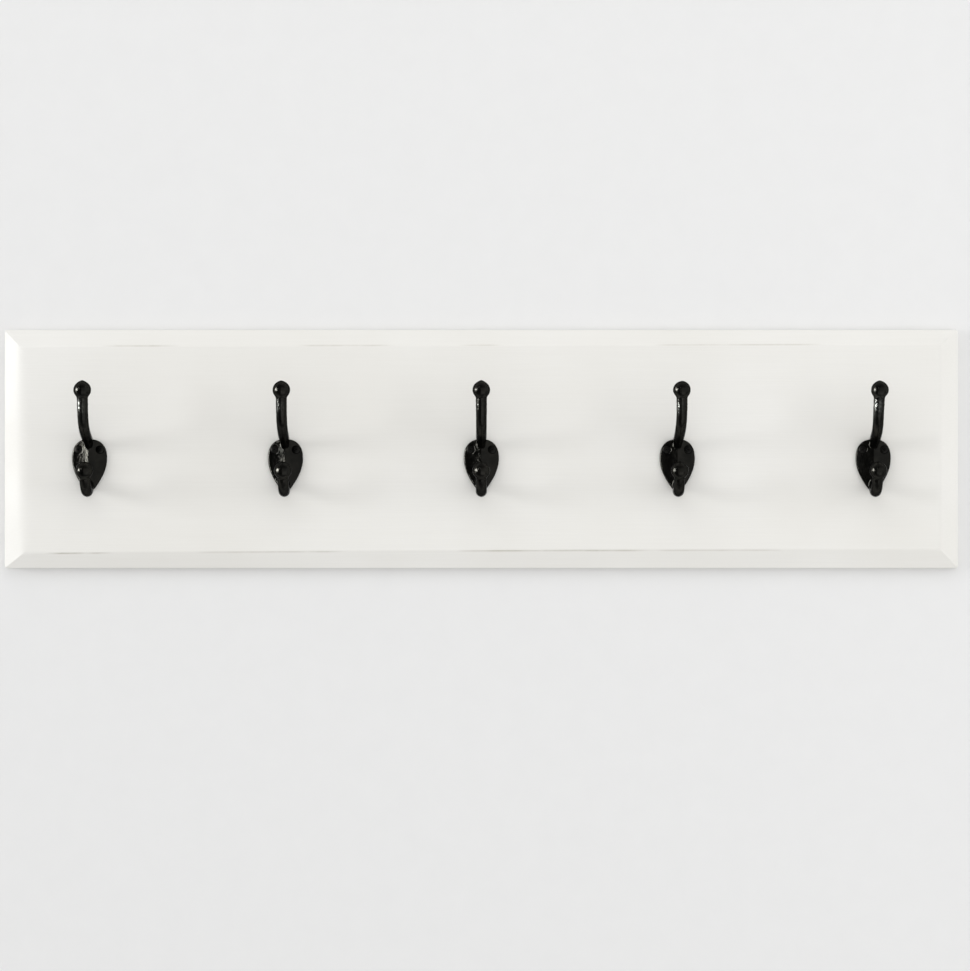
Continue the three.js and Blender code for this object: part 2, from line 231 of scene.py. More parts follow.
def cut(piece, cutters, sharp_angle):
    """Takes the cutters' shapes out of a piece, removes the cutters, and marks the sharp edges."""
    for cutter in cutters:
        modifier = piece.modifiers.new("cut", "BOOLEAN")
        modifier.operation = "DIFFERENCE"
        modifier.solver = "EXACT"
        modifier.object = cutter
    graph = bpy.context.evaluated_depsgraph_get()
    result = bpy.data.meshes.new_from_object(piece.evaluated_get(graph))
    piece.modifiers.clear()
    result.set_sharp_from_angle(angle=math.radians(sharp_angle))
    piece.data = result
    for cutter in cutters:
        bpy.data.objects.remove(cutter)
    return piece


def prism(outline, y0, y1, middle=(0.0, 0.0), scale_at_y1=1.0):
    """A solid from an outline in X and Z, drawn round a middle, that runs along Y and may taper."""
    rings = []
    for y, scale in ((y0, 1.0), (y1, scale_at_y1)):
        rings.append([(middle[0] + x * scale, y, middle[1] + z * scale) for x, z in outline])
    return mesh_piece("cutter", *lofted(rings), None)


def turned(profile, middle):
    """A round solid on an axis along Y, from its radius at each depth."""
    rings = []
    for radius, y in profile:
        rings.append([(middle[0] + x, y, middle[1] + z) for x, z in circle(radius)])
    return mesh_piece("cutter", *lofted(rings), None)


def lofted(rings):
    """Points and faces of a closed solid through rings that have the same number of points."""
    count = len(rings[0])
    points = [point for ring in rings for point in ring]
    last = len(points) - count
    faces = [range(count), range(last, len(points))]
    for start, k in itertools.product(range(0, last, count), range(count)):
        a, b = start + k, start + (k + 1) % count
        faces.append((a, b, b + count, a + count))
    return points, faces


def circle(radius, sides=48):
    angles = [2 * math.pi * i / sides for i in range(sides)]
    return [(radius * math.cos(a), radius * math.sin(a)) for a in angles]


def arc(centre, radius, start, end, steps=12):
    """Points on an arc, between two angles in degrees."""
    angles = [math.radians(start + (end - start) * i / steps) for i in range(steps + 1)]
    return [(centre[0] + radius * math.cos(a), centre[1] + radius * math.sin(a)) for a in angles]


def rounded_rectangle(width, height, corner):
    x, z = width / 2 - corner, height / 2 - corner
    corners = ((x, -z, -90), (x, z, 0), (-x, z, 90), (-x, -z, 180))
    return [p for cx, cz, start in corners for p in arc((cx, cz), corner, start, start + 90)]


def slot_outline(radius, bottom_z, rise):
    return arc((0, bottom_z), radius, 180, 360) + arc((0, bottom_z + rise), radius, 0, 180)


# ---------- material helpers ----------
class Nodes:
    """Adds a material's nodes and links them."""

    def __init__(self, name):
        self.material = bpy.data.materials.new(name)
        self.material.use_nodes = True
        self.tree = self.material.node_tree
        self.tree.nodes.clear()
        self.place = self.add("ShaderNodeTexCoord").outputs["Object"]

    def add(self, kind, inputs=None, **settings):
        made = self.tree.nodes.new(kind)
        for key, value in settings.items():
            setattr(made, key, value)
        for key, value in (inputs or {}).items():
            if isinstance(value, bpy.types.NodeSocket):
                self.tree.links.new(value, made.inputs[key])
            else:
                made.inputs[key].default_value = value
        return made

    def noise(self, scale, detail=2.0, roughness=0.5, stretch=(1, 1, 1), offset=(0, 0, 0)):
        """Noise with cells of 1 / scale metres, drawn out along an axis where stretch is small."""
        moved = self.add(
            "ShaderNodeMapping", {"Vector": self.place, "Scale": stretch, "Location": offset})
        values = {"Vector": moved.outputs[0], "Scale": scale, "Detail": detail,
                  "Roughness": roughness}
        return self.add("ShaderNodeTexNoise", values).outputs["Fac"]

    def math(self, operation, *values):
        return self.add("ShaderNodeMath", dict(enumerate(values)), operation=operation).outputs[0]

    def ramp(self, value, low, high, out_low=0.0, out_high=1.0):
        """Maps a value from one range to another, and holds it there."""
        inputs = {"Value": value, "From Min": low, "From Max": high, "To Min": out_low,
                  "To Max": out_high}
        return self.add("ShaderNodeMapRange", inputs, clamp=True).outputs["Result"]

    def mix(self, share, first, second):
        made = self.add("ShaderNodeMix", {0: share}, data_type="RGBA")
        for key, value in ((6, first), (7, second)):
            if isinstance(value, bpy.types.NodeSocket):
                self.tree.links.new(value, made.inputs[key])
            else:
                made.inputs[key].default_value = (*value, 1.0)
        return made.outputs[2]

    def bump(self, height, depth_mm, below=None):
        inputs = {"Height": height, "Distance": depth_mm * MM, "Strength": 1.0}
        if below is not None:
            inputs["Normal"] = below
        return self.add("ShaderNodeBump", inputs).outputs[0]

    def surface(self, **inputs):
        named = {key.replace("_", " "): value for key, value in inputs.items()}
        shader = self.add("ShaderNodeBsdfPrincipled", named)
        self.add("ShaderNodeOutputMaterial", {"Surface": shader.outputs[0]})
        return self.material


# ---------- materials ----------
def paint_material():
    """Ivory satin paint brushed along the board, with painted shade darkening its crease, over wood
    that shows bare on the back, where only the edges caught some paint."""
    n = Nodes("board_paint")
    brush = n.noise(900, 3, 0.6, stretch=(0.012, 1, 1))
    grain = n.noise(160, 4, 0.55, stretch=(0.03, 1, 1), offset=(0.3, 0, 0.7))
    cloud = n.noise(7, 3, 0.5)
    paint = n.mix(n.ramp(cloud, 0.3, 0.7), IVORY, CREAM)
    paint = n.mix(n.ramp(brush, 0.35, 0.7, 0.0, 0.14), paint, BRUSH_STREAK)
    # Painted shade: the crease's cut line is darkened, in patches, towards a dark colour.
    crease_shade = n.add("ShaderNodeAttribute", attribute_name="crease_shade").outputs["Fac"]
    patchy = n.ramp(n.noise(90, 3, 0.6), 0.3, 0.6, 0.55, 1.0)
    paint = n.mix(n.math("MULTIPLY", crease_shade, patchy), paint, CREASE_SHADE)

    rings = n.noise(55, 5, 0.6, stretch=(0.05, 1, 1), offset=(0.1, 0.4, 0.2))
    fibre = n.noise(1400, 3, 0.7, stretch=(0.02, 1, 1))
    wood = n.mix(n.ramp(rings, 0.38, 0.62), WOOD_DARK, WOOD_LIGHT)
    wood = n.mix(n.ramp(fibre, 0.3, 0.75, 0.0, 0.45), wood, WOOD_FIBRE)
    bare = n.add("ShaderNodeAttribute", attribute_name="bare").outputs["Fac"]
    ragged = n.math("ADD", bare, n.ramp(n.noise(60, 4, 0.65, stretch=(0.3, 1, 1)), 0, 1, -0.5, 0.5))
    bare = n.ramp(ragged, 0.42, 0.6)

    relief = n.math("ADD", n.math("MULTIPLY", brush, 0.5), grain)
    painted_bump = n.bump(relief, 0.07)
    bump = n.bump(n.math("MULTIPLY", fibre, bare), 0.12, painted_bump)
    gloss = n.ramp(n.noise(30, 3), 0.3, 0.7, 0.46, 0.58)
    return n.surface(
        Base_Color=n.mix(bare, paint, wood),
        Roughness=n.math("ADD", gloss, n.math("MULTIPLY", bare, 0.25)),
        Specular_IOR_Level=0.16,
        Normal=bump,
    )


def iron_material():
    """Black lacquer on sand-cast iron, with a painted highlight in lighter spots on its neck."""
    n = Nodes("hook_iron")
    lumps = n.noise(330, 3, 0.55)
    sand = n.noise(1500, 2, 0.6, offset=(0.2, 0.1, 0.4))
    tone = n.mix(n.ramp(n.noise(120, 3), 0.35, 0.65), LACQUER_DARK, LACQUER_LIGHT)
    # Painted highlight: the neck's lacquer is lightened in spots towards a lighter iron colour.
    neck_glint = n.add("ShaderNodeAttribute", attribute_name="neck_glint").outputs["Fac"]
    neck_glint = n.math("MULTIPLY", neck_glint, n.ramp(n.noise(650, 3, 0.6, offset=(0.9, 0, 0)), 0.42, 0.6))
    tone = n.mix(neck_glint, tone, NECK_GLINT_IRON)
    relief = n.math("ADD", lumps, n.math("MULTIPLY", sand, 0.3))
    return n.surface(
        Base_Color=tone,
        Metallic=0.9,
        Specular_Tint=(0.22, 0.22, 0.22, 1.0),
        Roughness=n.ramp(n.noise(260, 3, offset=(0.5, 0, 0)), 0.3, 0.7, 0.10, 0.18),
        Normal=n.bump(relief, 0.3),
    )


def steel_material(name):
    """Plated or blackened steel with fine drawn lines and slight stains."""
    dark, light, roughness, bump_mm = STEELS[name]
    n = Nodes(name)
    lines = n.noise(2600, 2, 0.6, stretch=(1, 1, 0.05))
    stain = n.noise(180, 4, 0.6)
    return n.surface(
        Base_Color=n.mix(n.ramp(stain, 0.3, 0.7), dark, light),
        Metallic=1.0,
        Roughness=n.ramp(
            n.math("ADD", stain, n.math("MULTIPLY", lines, 0.6)), 0.5, 1.1, *roughness),
        Normal=n.bump(lines, bump_mm),
    )


def one_sided_material(name, colour, roughness):
    """A stage surface that is seen from its front and not from behind."""
    n = Nodes(name)
    speck = n.noise(40, 4, 0.6)
    shade = n.mix(n.ramp(speck, 0.3, 0.7), colour, tuple(0.985 * c for c in colour))
    shader = n.add("ShaderNodeBsdfPrincipled", {"Base Color": shade, "Roughness": roughness})
    clear = n.add("ShaderNodeBsdfTransparent")
    behind = n.add("ShaderNodeNewGeometry").outputs["Backfacing"]
    both = n.add("ShaderNodeMixShader", {0: behind, 1: shader.outputs[0], 2: clear.outputs[0]})
    n.add("ShaderNodeOutputMaterial", {"Surface": both.outputs[0]})
    return n.material


# ---------- board ----------
def stations(length):
    """Places along a side of the board: close together at its ends, and evenly spaced between."""
    end = FINE_STATIONS[-1]
    count = max(2, round((length - 2 * end) / CELL))
    middle = np.linspace(end, length - end, count + 1)
    ends = np.array(FINE_STATIONS[:-1])
    return np.concatenate([ends, middle, (length - ends)[::-1]])


def board_corner(name, side, up):
    inset = PANEL_INSETS[name]
    return np.array([side * (HALF_WIDTH - inset[0]), up * (HALF_HEIGHT - inset[1])])


def panel_point(u, v):
    """A point of the flat panel, from shares along its width and height."""
    bottom = board_corner("bottom_left", -1, -1) * (1 - u) + board_corner("bottom_right", 1, -1) * u
    top = board_corner("top_left", -1, 1) * (1 - u) + board_corner("top_right", 1, 1) * u
    bow = np.array([0, BOTTOM_BOW * 4 * u * (1 - u)])
    return (bottom + bow) * (1 - v) + top * v


def outline_point(u, v):
    """A point of the board's outline, with its corners rounded, or of a grid that fills it."""
    x, z = (2 * u - 1) * HALF_WIDTH, (2 * v - 1) * HALF_HEIGHT
    centre_x, centre_z = HALF_WIDTH - CORNER_RADIUS, HALF_HEIGHT - CORNER_RADIUS
    over_x, over_z = abs(x) - centre_x, abs(z) - centre_z
    if over_x <= 0 or over_z <= 0:
        return np.array([x, z])
    angle, reach = math.atan2(over_z, over_x), max(over_x, over_z)
    return np.array([
        math.copysign(centre_x + reach * math.cos(angle), x),
        math.copysign(centre_z + reach * math.sin(angle), z),
    ])


def boundary(columns, rows):
    """Grid places round the edge of a grid, anticlockwise from its bottom left corner."""
    bottom = [(i, 0) for i in range(columns)]
    right = [(columns, j) for j in range(rows)]
    top = [(i, rows) for i in range(columns, 0, -1)]
    left = [(0, j) for j in range(rows, 0, -1)]
    return bottom + right + top + left


def crease_quirk(x, z):
    """How deep the crease is cut at a place on it, from 0 to 1."""
    lines = CREASE_LINES["top" if z > 0 else "bottom"]
    if abs(x) > HALF_WIDTH - 2 * PANEL_INSETS["bottom_left"][0]:
        return 0.0
    depth = 0.0
    for start, end, strength in lines:
        inside = min(x - start, end - x)
        depth = max(depth, strength * min(1.0, max(0.0, 0.5 + inside / CREASE_LINE_END)))
    return depth * min(1.0, max(0.15, 0.75 + 0.7 * noise.noise(Vector((x / 23, z / 50, 3.3)))))


def side_shares(x, z):
    """For each side, how far out across its bevel a place is: 0 at the crease and 1 at the outline,
    negative on the panel. With it, the share of the bevel's width that the rounding takes."""
    u, v = (x / HALF_WIDTH + 1) / 2, (z / HALF_HEIGHT + 1) / 2
    from_ends = {"across": HALF_WIDTH - abs(x), "up": HALF_HEIGHT - abs(z)}
    insets = PANEL_INSETS
    widths = {
        "left": insets["bottom_left"][0] * (1 - v) + insets["top_left"][0] * v,
        "right": insets["bottom_right"][0] * (1 - v) + insets["top_right"][0] * v,
        "bottom": insets["bottom_left"][1] * (1 - u) + insets["bottom_right"][1] * u
        + BOTTOM_BOW * 4 * u * (1 - u),
        "top": insets["top_left"][1] * (1 - u) + insets["top_right"][1] * u,
    }
    from_outline = {"left": HALF_WIDTH + x, "right": HALF_WIDTH - x,
                    "bottom": HALF_HEIGHT + z, "top": HALF_HEIGHT - z}
    for side, width in widths.items():
        upright = side in ("left", "right")
        near = "left" if x < 0 else "right"
        below = "bottom" if z < 0 else "top"
        corner = (CREASE_ROUNDING[near] + CREASE_ROUNDING[below]) / 2
        from_corner = from_ends["up" if upright else "across"]
        blend = math.exp(-max(0.0, from_corner - width) / CORNER_BLEND)
        rounding = CREASE_ROUNDING[side] * (1 - blend) + corner * blend
        yield 1 - from_outline[side] / width, rounding / width


def front_height(x, z):
    """Height of the board's front above its back at a place on the panel or the bevel."""
    fall = 0.0
    for share, rounding in side_shares(x, z):
        if share >= rounding:
            fall = max(fall, share)
        elif share > -rounding:
            fall = max(fall, (share + rounding)**2 / (4 * rounding))
    return -FACE_Y - (-FACE_Y - LIP) * fall


def face_sag(x, z):
    """How far the hand-sanded front lies below its true plane at a place."""
    slow = noise.noise(Vector((x / 130, z / 90, 1.7)))
    quick = noise.noise(Vector((x / 38, z / 30, 5.2)))
    return WAVINESS * (0.5 + 0.4 * slow + 0.1 * quick)


def bevel_rows(width, quirk):
    """Rows across the bevel and down the lip: distance out from the crease, height where the lip or
    back sets it, how deep the row is cut, and how much painted shade darkens it."""
    rows = []
    for out, cut_share in QUIRK_ROWS:
        # The last value is painted shade along the crease's cut, as strong as the cut is deep.
        rows.append((out, None, QUIRK_DEPTH * quirk * cut_share, quirk * max(cut_share, 0.1)))
    for share in BEVEL_SHARES:
        rows.append((share * width, None, 0.0, 0.0))
    for inset, above in BEVEL_EDGE:
        rows.append((width - inset, LIP + above, 0.0, 0.0))
    for height in LIP_ROWS:
        rows.append((width, height, 0.0, 0.0))
    for inset, height in BACK_EDGE:
        rows.append((width - inset, height, 0.0, 0.0))
    return rows


def board_piece(material):
    across = stations(2 * HALF_WIDTH) / (2 * HALF_WIDTH)
    up = stations(2 * HALF_HEIGHT) / (2 * HALF_HEIGHT)
    columns, rows = len(across) - 1, len(up) - 1
    edge = boundary(columns, rows)
    points, crease_shade, faces = [], [], []

    def grid(place):
        start = len(points)
        for j, i in itertools.product(range(rows + 1), range(columns + 1)):
            points.append(place(across[i], up[j]))
        for j, i in itertools.product(range(rows), range(columns)):
            a = start + j * (columns + 1) + i
            faces.append((a, a + 1, a + columns + 2, a + columns + 1))
        return [start + j * (columns + 1) + i for i, j in edge]

    def front(u, v):
        x, z = panel_point(u, v)
        return (x, face_sag(x, z) - front_height(x, z), z)

    front_edge = grid(front)
    crease_shade += [0.0] * len(points)
    loops = []
    for i, j in edge:
        u, v = across[i], up[j]
        inner, outer = panel_point(u, v), outline_point(u, v)
        width = max(abs(outer - inner))
        quirk = crease_quirk(*inner)
        sag = face_sag(*inner)
        column = []
        # Each row's last value is the painted crease shade at its points.
        for out, height, depth, stain in bevel_rows(width, quirk):
            x, z = inner + (outer - inner) * out / width
            if height is None:
                height = front_height(x, z) - depth
            fade = max(0.0, (height - LIP) / (-FACE_Y - LIP))
            column.append(((x, -height + sag * fade, z), stain))
        loops.append(column)
    previous = front_edge
    for row in range(len(loops[0])):
        start = len(points)
        for column in loops:
            points.append(column[row][0])
            crease_shade.append(column[row][1])
        ring = list(range(start, start + len(edge)))
        faces += [(previous[k], previous[k - 1], ring[k - 1], ring[k]) for k in range(len(edge))]
        previous = ring

    def back(u, v):
        x, z = outline_point(u, v)
        return (x * (1 - BACK_INSET / HALF_WIDTH), 0.0, z * (1 - BACK_INSET / HALF_HEIGHT))

    back_edge = grid(back)
    crease_shade += [0.0] * (len(points) - len(crease_shade))
    faces += [
        (previous[k], previous[k - 1], back_edge[k - 1], back_edge[k]) for k in range(len(edge))]
    board = mesh_piece("board", points, faces, material)
    add_attribute(board, "crease_shade", crease_shade)
    return board


def add_attribute(piece, name, values):
    made = piece.data.attributes.new(name, "FLOAT", "POINT")
    made.data.foreach_set("value", np.asarray(values, np.float32))


def board_cutters():
    """Pilot holes under the hooks' screws, and what the hanger plates need cut into the back."""
    cutters = []
    hole = circle(HOOK_SCREW["shank"] + GAP, 24)
    deepest = FACE_Y - HOOK_SCREW_HEAD_OUT + HOOK_SCREW["length"] + GAP
    for name in screw_names("hook_"):
        cutters.append(prism(hole, FACE_Y - 1, deepest, node_middle(name)))
    width, height = HANGER["width"] + 2 * GAP, HANGER["height"] + 2 * GAP
    recess = rounded_rectangle(width, height, HANGER["corner"])
    pocket = slot_outline(HEAD_POCKET["radius"], KEYHOLE["entry_z"], KEYHOLE["rise"])
    for side in ("left", "right"):
        middle = node_middle(f"hanger_plate_{side}")
        cutters.append(prism(recess, -HANGER["recess"], 1, middle))
        cutters.append(prism(pocket, -HEAD_POCKET["depth"], 1, middle))
    hole = circle(HANGER_SCREW["shank"] + GAP, 24)
    deepest = HANGER_BACK_Y - HANGER_SCREW["length"] - GAP
    for name in screw_names("hanger_plate_"):
        cutters.append(prism(hole, deepest, 1, node_middle(name)))
    return cutters


def mark_bare_wood(board):
    """Bare wood shows on the back and in what is cut into it, less towards the board's outline."""
    count = len(board.data.vertices)
    place = np.zeros(count * 3, np.float32)
    board.data.vertices.foreach_get("co", place)
    x, y, z = np.abs(place.reshape(-1, 3).T / MM)
    from_outline = np.minimum(HALF_WIDTH - x, HALF_HEIGHT - z)
    in_a_cut = (y < -FACE_Y - CLEAR_OF_FRONT) & (from_outline > PAST_BEVEL)
    shows = (y < BACK_DEPTH) | in_a_cut
    add_attribute(board, "bare", np.where(shows, np.clip(from_outline / BARE_FROM, 0, 1), 0))


# ---------- hooks ----------
def catmull_rom(points, steps):
    """Points along a centripetal Catmull-Rom curve, with the same number between each two knots."""
    knots = np.vstack([2 * points[0] - points[1], points, 2 * points[-1] - points[-2]])
    gaps = np.sqrt(np.linalg.norm(np.diff(knots, axis=0), axis=1))
    t = (np.arange(steps) / steps)[:, None]
    curve = []
    for i in range(1, len(knots) - 2):
        p0, p1, p2, p3 = knots[i - 1:i + 3]
        g0, g1, g2 = gaps[i - 1:i + 2]
        start = ((p1 - p0) / g0 - (p2 - p0) / (g0 + g1) + (p2 - p1) / g1) * g1
        end = ((p2 - p1) / g1 - (p3 - p1) / (g1 + g2) + (p3 - p2) / g2) * g1
        square, cube = 3 * (p2 - p1) - 2 * start - end, 2 * (p1 - p2) + start + end
        curve.append(p1 + start * t + square * t**2 + cube * t**3)
    return np.vstack(curve + [points[-1:]])


def bar_path():
    """The bar's centreline and radius, as rows of distance out, height and radius."""
    line = catmull_rom(BAR[:, :2], BAR_STEPS)
    at = np.linspace(0, len(BAR) - 1, len(line))
    return np.column_stack([line, np.interp(at, range(len(BAR)), BAR[:, 2])])


BAR_PATH = bar_path()


def smooth_min(a, b, reach):
    """The lesser of two distances, with a fillet where they are within reach of each other."""
    share = np.clip(0.5 + 0.5 * (b - a) / reach, 0, 1)
    return b + (a - b) * share - reach * share * (1 - share)


def smooth_max(a, b, reach):
    return -smooth_min(-a, -b, reach)


def nearest_on_bar(out, z):
    """Distance in the hook's middle plane to the bar's centreline, and the bar's radius there."""
    best = np.full(np.broadcast(out, z).shape, np.inf)
    radius = np.zeros_like(best)
    for (out0, z0, r0), (out1, z1, r1) in zip(BAR_PATH, BAR_PATH[1:]):
        step_out, step_z = out1 - out0, z1 - z0
        share = ((out - out0) * step_out + (z - z0) * step_z) / (step_out**2 + step_z**2)
        share = np.clip(share, 0, 1)
        distance = np.hypot(out - out0 - share * step_out, z - z0 - share * step_z)
        closer = distance < best
        best = np.where(closer, distance, best)
        radius = np.where(closer, r0 + share * (r1 - r0), radius)
    return best, radius


def leaf_distance(x, z):
    """Distance to the outline of the back plate, true near it and negative inside."""
    across = np.abs(x) / LEAF["half_width"] + 1e-6
    above = np.clip((z - LEAF["widest_z"]) / LEAF["rise"], 0, None)
    power = LEAF_SQUARENESS
    upper = across**power + above**power - 1
    upper_slope = power * np.hypot(across**(power - 1) / LEAF["half_width"],
                                   above**(power - 1) / LEAF["rise"])
    below = np.clip((LEAF["widest_z"] - z) / LEAF["fall"], 0, 0.99)
    left = 1 - below**2
    lower = across - left**LEAF_TAPER
    fall_off = 2 * LEAF_TAPER * below * left**(LEAF_TAPER - 1) / LEAF["fall"]
    lower_slope = np.hypot(1 / LEAF["half_width"], fall_off)
    leaf = np.where(z >= LEAF["widest_z"], upper / upper_slope, lower / lower_slope)
    return smooth_max(leaf, LEAF["bottom_z"] - z, FILLET["leaf_tip"])


def ball_distance(x, out, z, end, before, nib):
    """Distance to a ball on the bar's end, with a blunt nib that points on along the bar."""
    along = (end - before) / np.linalg.norm(end - before)
    from_out, from_z = out - end[0], z - end[1]
    distance = np.sqrt(x**2 + from_out**2 + from_z**2)
    ahead = from_out * along[0] + from_z * along[1]
    off_axis = np.sqrt(np.maximum(distance**2 - ahead**2, 0))
    rise = nib * np.exp(-(off_axis / NIB_REACH)**2) * (ahead > 0)
    return distance - BALL_RADIUS - rise


def stem_sway(z, casting):
    """Sideways shift of a stem at a height."""
    share = np.clip((z - SWAY_FROM_Z) / (BAR[0, 1] - SWAY_FROM_Z), 0, 1.2)
    return casting["bow"] * 4 * share * (1.0 - share) * (share < 1) + casting["lean"] * share**2


def hook_distance(x, out, z, casting):
    """Signed distance to a hook's surface, in millimetres, from places measured from the middle of
    its plate: sideways, out from the board, and up. Arrays of any shapes that fit each other."""
    swayed = x - stem_sway(z, casting)
    ridge = PARTING_RIDGE["height"] * np.exp(-(swayed / PARTING_RIDGE["half_width"])**2)
    planar, radius = nearest_on_bar(out, z)
    bar = np.hypot(planar, swayed) - radius - ridge
    upper_nib, lower_nib = casting["nibs"]
    upper = ball_distance(swayed, out, z, BAR[0, :2], BAR[1, :2], upper_nib) - 0.5 * ridge
    lower = ball_distance(swayed, out, z, BAR[-1, :2], BAR[-2, :2], lower_nib) - 0.5 * ridge

    share = np.clip(1 - np.abs(x) / CROWN["reach"], 0, 1)
    front = CROWN["edge"] + (CROWN["ridge"] - CROWN["edge"]) * share**CROWN["power"]
    plate = smooth_max(leaf_distance(x, z), out - front, LEAF_RIM_ROUND)

    hook = smooth_min(bar, plate, FILLET["bar"])
    hook = smooth_min(hook, upper, FILLET["ball"])
    hook = smooth_min(hook, lower, FILLET["ball"])
    seat = HOOK_SCREW_HEAD_OUT - HOOK_SCREW["head_depth"]
    shoulder = HOOK_SCREW_HEAD_OUT - HOOK_SCREW["rim"] - 0.2
    hole_radius = np.interp(
        out, [seat, shoulder], [HOOK_SCREW["shank"] + GAP, HOOK_SCREW["head"] + HEAD_GAP])
    hole = hole_radius - np.hypot(np.abs(x) - HOOK_SCREW_X, z - HOOK_SCREW_Z)
    hook = smooth_max(hook, hole, FILLET["screw_hole"])
    return smooth_max(hook, -out, FILLET["back"])


def surface_nets(field):
    """A net of quads round the zero level of a field on a grid. Points are in grid steps."""
    inside = field < 0
    cell_shape = tuple(n - 1 for n in field.shape)

    def corner_view(values, offset):
        return values[tuple(slice(o, o + n) for o, n in zip(offset, cell_shape))]

    corners = list(itertools.product((0, 1), repeat=3))
    filled = sum(corner_view(inside, c).astype(np.int8) for c in corners)
    active = (filled > 0) & (filled < 8)
    number = np.full(cell_shape, -1)
    number[active] = np.arange(np.count_nonzero(active))
    total, count = np.zeros((np.count_nonzero(active), 3)), np.zeros(np.count_nonzero(active))
    quads = []
    for axis in range(3):
        others = [k for k in range(3) if k != axis]
        for corner in (c for c in corners if c[axis] == 0):
            far = tuple(1 if k == axis else c for k, c in enumerate(corner))
            a, b = corner_view(field, corner)[active], corner_view(field, far)[active]
            crossed = (a < 0) != (b < 0)
            place = np.tile(np.array(corner, float), (len(a), 1))
            place[:, axis] = np.where(crossed, a / np.where(crossed, a - b, 1), 0)
            total[crossed] += place[crossed]
            count[crossed] += 1
        near = [slice(1, -1)] * 3
        near[axis] = slice(0, -1)
        far = [slice(1, -1)] * 3
        far[axis] = slice(1, None)
        crossing = np.argwhere(inside[tuple(near)] != inside[tuple(far)])
        crossing += np.array([0 if k == axis else 1 for k in range(3)])
        ring = []
        for shift in ((0, 0), (-1, 0), (-1, -1), (0, -1)):
            cell = crossing.copy()
            cell[:, others[0]] += shift[0]
            cell[:, others[1]] += shift[1]
            ring.append(number[tuple(cell.T)])
        quads.append(np.column_stack(ring))
    return np.argwhere(active) + total / count[:, None], np.vstack(quads)


def settle(points, casting):
    """Points moved onto a hook's surface, and the surface's normals there."""
    step = 0.02
    for _ in range(2):
        here = hook_distance(*points.T, casting)
        slope = np.empty_like(points)
        for axis in range(3):
            beside = points.copy()
            beside[:, axis] += step
            slope[:, axis] = (hook_distance(*beside.T, casting) - here) / step
        length = np.maximum(np.linalg.norm(slope, axis=1, keepdims=True), 0.3)
        move = -here[:, None] * slope / length**2
        points = points + np.clip(move, -GRID_STEP, GRID_STEP)
    return points, slope / length


def relaxed(points, quads):
    """Each point moved to the mean of its neighbours."""
    starts = quads.ravel()
    ends = np.roll(quads, -1, axis=1).ravel()
    count = np.bincount(starts, minlength=len(points))
    means = [np.bincount(starts, points[ends, k], len(points)) / count for k in range(3)]
    return np.column_stack(means)


def casting_relief(points, number):
    """How far sand and runs of iron raise a casting's surface at each of its points."""
    relief = []
    for x, out, z in points:
        place = Vector((x, out, z + 200 * number))
        slow = noise.noise(place / RELIEF["slow_size"])
        quick = noise.noise(place / RELIEF["quick_size"])
        neck = math.exp(-((z - NECK["z"]) / NECK["reach"])**2)
        rough = RELIEF["quick"] + RELIEF["neck"] * neck
        off_the_board = min(1.0, max(0.0, (out - 0.5) / 1.5))
        relief.append(off_the_board * (RELIEF["slow"] * slow + rough * quick))
    return np.array(relief)


def hook_piece(number, material):
    casting = CASTINGS[number]
    axes = [np.arange(a, b, GRID_STEP) for a, b in zip(GRID_LOW, GRID_HIGH)]
    points, quads = surface_nets(hook_distance(*np.ix_(*axes), casting))
    points = GRID_LOW + points * GRID_STEP
    for _ in range(2):
        points, normals = settle(relaxed(points, quads), casting)
    points = points + normals * casting_relief(points, number)[:, None]
    low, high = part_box(f"hook_{number}")
    x, out, z = points.T
    furthest = FACE_Y - low.y / MM  # the relief stays inside the CAD casting's reach
    placed = np.column_stack([(low.x + high.x) / 2 / MM + x, FACE_Y - np.minimum(out, furthest), z])
    hook = mesh_piece(f"hook_casting_{number}", placed, quads, material)
    # A painted highlight on the neck, lighter towards its left side, where the window's reflection
    # falls.
    glint_band = np.exp(-((z - NECK["z"]) / NECK["reach"])**2)
    glint_band *= np.clip((out - NECK["out"]) / NECK["fade"], 0, 1)
    towards_left = np.clip(GLINT_SPREAD["middle"] - x / GLINT_SPREAD["fade"], GLINT_SPREAD["least"], 1)
    add_attribute(hook, "neck_glint", casting["neck_glint"] * glint_band * towards_left)
    return hook


# ---------- screws ----------
def screw_profile(screw):
    """Rows of a screw from its point to the middle of its head: radius, height, thread depth."""
    rows = []
    start, end = -screw["length"], -screw["head_depth"]
    thread = THREAD_DEPTH * screw["shank"]
    for y in np.arange(start, end, THREAD_ROW):
        taper = min(1.0, (y - start) / screw["point"])
        runs_out = min(1.0, (end - y) / THREAD_RUN_OUT)
        rows.append((screw["shank"] * taper**0.8, y, thread * min(taper, runs_out)))
    head, rim, dome = screw["head"], screw["rim"], screw["dome"]
    rows += [(screw["shank"], end, 0), (head - 0.12, -rim - 0.1, 0), (head, -rim + 0.04, 0)]
    rows += [(head, -0.08, 0), (head - 0.1, 0.03, 0)]
    for share in np.linspace(0.93, 0.06, 10):
        rows.append((share * head, 0.03 + dome * (1 - share**2), 0))
    return rows


